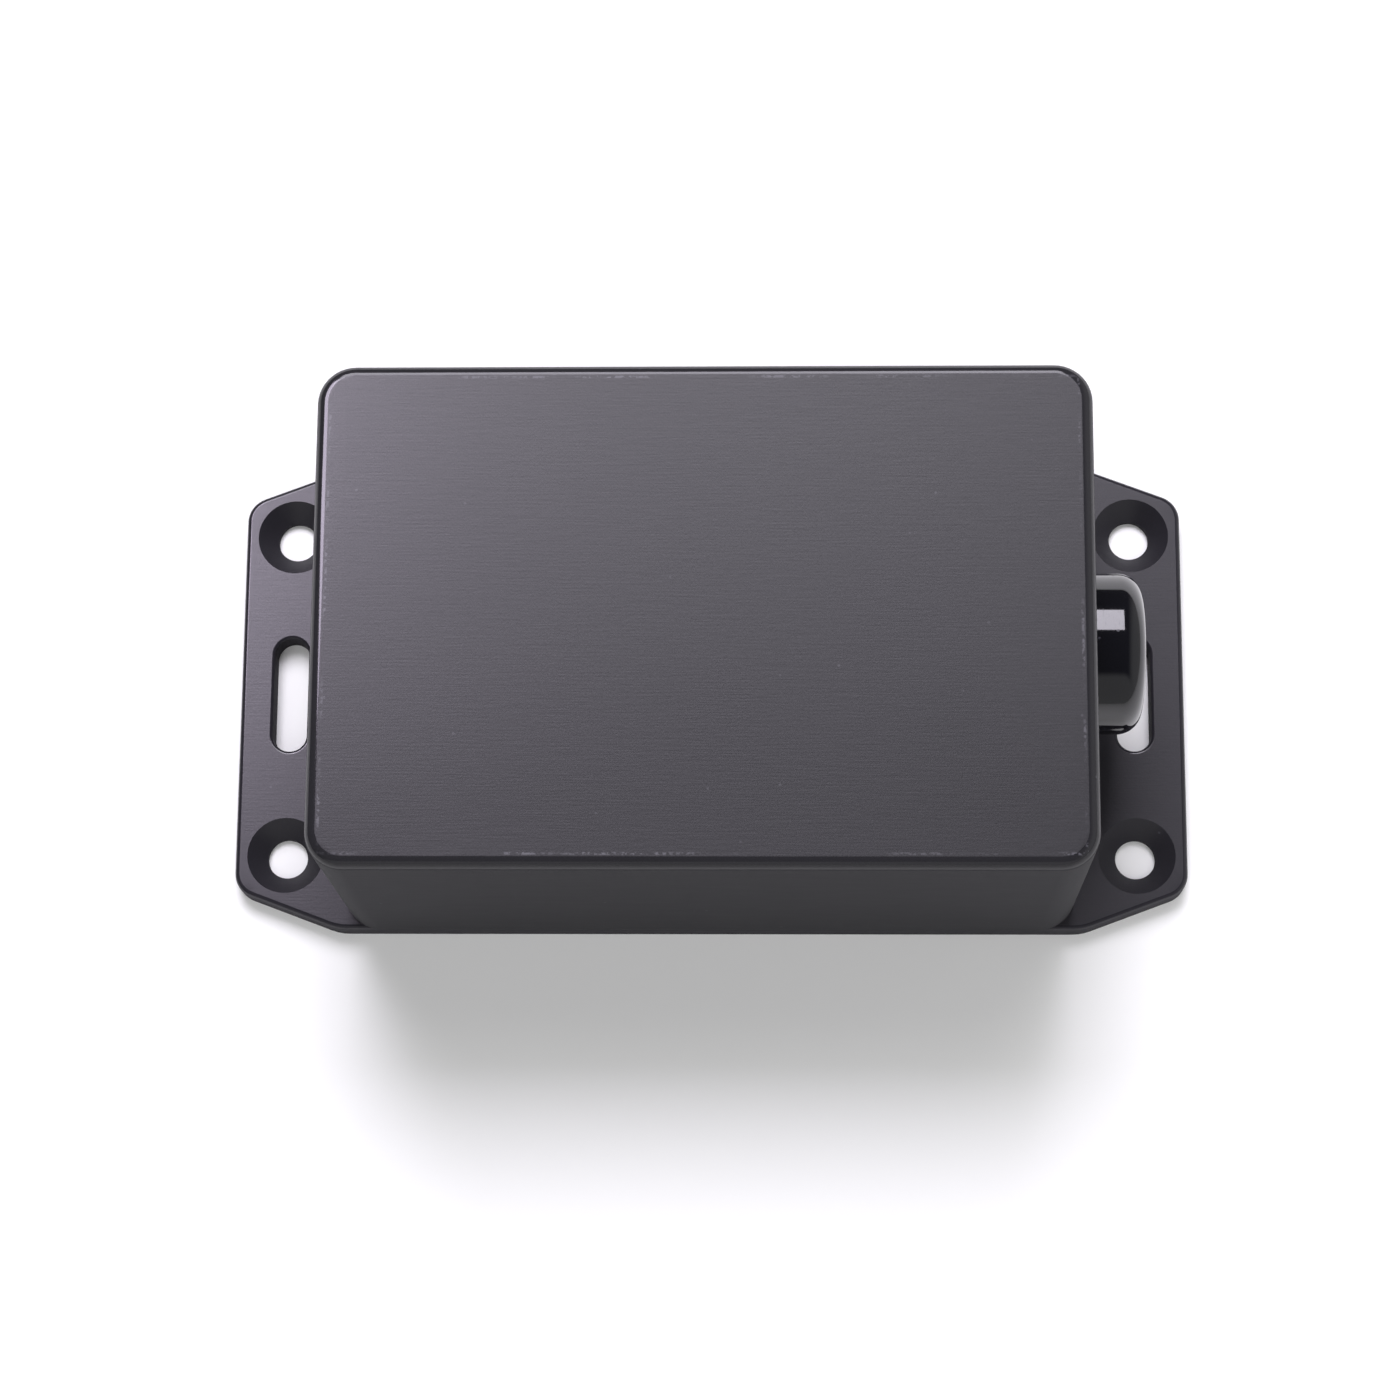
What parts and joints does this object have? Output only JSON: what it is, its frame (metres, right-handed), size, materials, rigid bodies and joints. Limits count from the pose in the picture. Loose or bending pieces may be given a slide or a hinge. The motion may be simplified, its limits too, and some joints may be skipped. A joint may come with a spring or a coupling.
{
  "type": "cellular signal booster",
  "caption": "Flanged black plastic box of a cellular signal booster: blank deep shell, base plate with slotted ears, side radio port under a screw-on cap.",
  "frame": {"origin": "centre of the base plate's back face", "axes": "+Z out of the front face, +X towards the capped radio port, +Y along the short side"},
  "size_m": [0.1114, 0.0564, 0.039],
  "materials": {
    "shell_plastic": "satin moulded",
    "base_plastic": "satin moulded",
    "cap_plastic": "polished",
    "gasket_rubber": "dull",
    "screw_steel": "zinc plated",
    "insert_brass": "machined",
    "jack_nickel": "nickel plated",
    "contact_gold": "gold plated",
    "insulator_white": "waxy",
    "board_laminate": "solder masked",
    "shield_tin": "tin plated",
    "chip_moulding": "fine matt",
    "filter_ceramic": "fired",
    "crystal_can": "plated can",
    "inductor_ferrite": "pressed ferrite",
    "capacitor_can": "satin can",
    "capacitor_chip": "fired",
    "heat_aluminium": "milled",
    "pad_silicone": "soft",
    "cable_jacket": "smooth",
    "antenna_dielectric": "matt laminate",
    "antenna_copper": "rolled copper"
  },
  "bodies": {
    "enclosure": {"front_shell": "shell_plastic", "flanged_base": "base_plastic", "base_gasket": "gasket_rubber", "base_screws": "screw_steel", "thread_inserts": "insert_brass", "jack_body": "jack_nickel", "jack_insulator": "insulator_white", "jack_contact": "contact_gold", "jack_seal_washer": "gasket_rubber", "jack_lock_washer": "screw_steel", "jack_nut": "jack_nickel", "coax_pigtail": "cable_jacket", "pigtail_plug": "contact_gold", "board_socket": "contact_gold", "main_board": "board_laminate", "board_screws": "screw_steel", "uplink_shield_frame": "shield_tin", "uplink_shield_cover": "shield_tin", "downlink_shield_frame": "shield_tin", "downlink_shield_cover": "shield_tin", "uplink_amplifier": "chip_moulding", "downlink_amplifier": "chip_moulding", "uplink_filters": "filter_ceramic", "downlink_filters": "filter_ceramic", "controller_chip": "chip_moulding", "clock_crystal": "crystal_can", "voltage_regulator": "chip_moulding", "bias_inductor": "inductor_ferrite", "storage_capacitors": "capacitor_can", "chip_capacitors": "capacitor_chip", "heat_spreader": "heat_aluminium", "thermal_pad": "pad_silicone", "antenna_board": "antenna_dielectric", "antenna_patch": "antenna_copper", "antenna_ground": "antenna_copper", "antenna_screws": "screw_steel", "feed_line": "antenna_copper", "feed_pin": "contact_gold"},
    "sealing_washer": {"cap_seal": "gasket_rubber"},
    "cap": {"port_cap": "cap_plastic"}
  },
  "joints": [
    {"name": "cap_slide", "type": "slide", "parent": "enclosure", "child": "sealing_washer", "axis": [1, 0, 0], "range_m": [0, 0.00238]},
    {"name": "cap_turn", "type": "hinge", "parent": "sealing_washer", "child": "cap", "pos_m": [0.0474, 0, 0.021], "axis": [1, 0, 0], "range_deg": [0, 1080]}
  ],
  "couplings": [
    {"joint": "cap_turn", "follows": "cap_slide", "rad_per_m": 7915.8}
  ]
}
